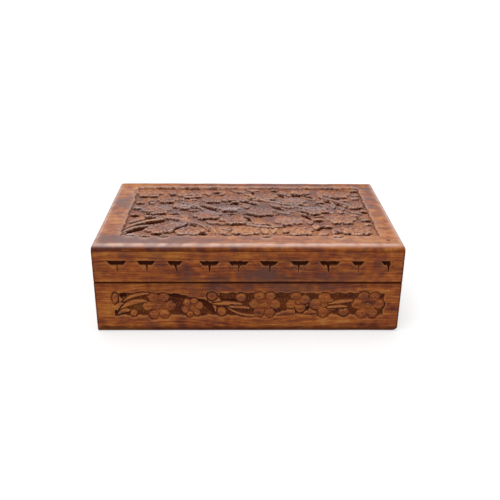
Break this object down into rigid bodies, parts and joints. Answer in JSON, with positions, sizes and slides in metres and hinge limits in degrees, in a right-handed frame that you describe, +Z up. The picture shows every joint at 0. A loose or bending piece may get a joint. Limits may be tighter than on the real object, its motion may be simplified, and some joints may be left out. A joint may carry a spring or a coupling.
{
  "type": "carved wooden box",
  "caption": "Low rectangular hardwood box with a hinged lid; flowers and leaves in sunk relief on the lid and walls, a row of gouges on the lid rails, plain inside.",
  "frame": {"origin": "middle of the underside, on the surface that the box stands on", "axes": "+X to the right along the front, +Y from the carved front to the hinged back, +Z up"},
  "size_m": [0.203, 0.127, 0.0635],
  "materials": {
    "carved_wood": "oiled and rubbed, satin",
    "floor_wood": "plain sanded",
    "hinge_brass": "dull, lightly tarnished",
    "pin_steel": "dark wire"
  },
  "bodies": {
    "base": {"base_front_wall": "carved_wood", "base_back_wall": "carved_wood", "base_left_wall": "carved_wood", "base_right_wall": "carved_wood", "bottom_panel": "floor_wood", "base_corner_pins": "pin_steel", "bottom_panel_pins": "pin_steel", "left_hinge_base_leaf": "hinge_brass", "left_hinge_pin": "hinge_brass", "right_hinge_base_leaf": "hinge_brass", "right_hinge_pin": "hinge_brass", "base_hinge_screws": "hinge_brass"},
    "lid": {"lid_top_panel": "carved_wood", "lid_front_rail": "carved_wood", "lid_back_rail": "carved_wood", "lid_left_rail": "carved_wood", "lid_right_rail": "carved_wood", "lid_top_pins": "pin_steel", "lid_corner_pins": "pin_steel", "left_hinge_lid_leaf": "hinge_brass", "right_hinge_lid_leaf": "hinge_brass", "lid_hinge_screws": "hinge_brass"}
  },
  "joints": [
    {"name": "lid_hinge", "type": "hinge", "parent": "base", "child": "lid", "pos_m": [0, 0.0615, 0.0365], "axis": [-1, 0, 0], "range_deg": [0, 100]}
  ]
}
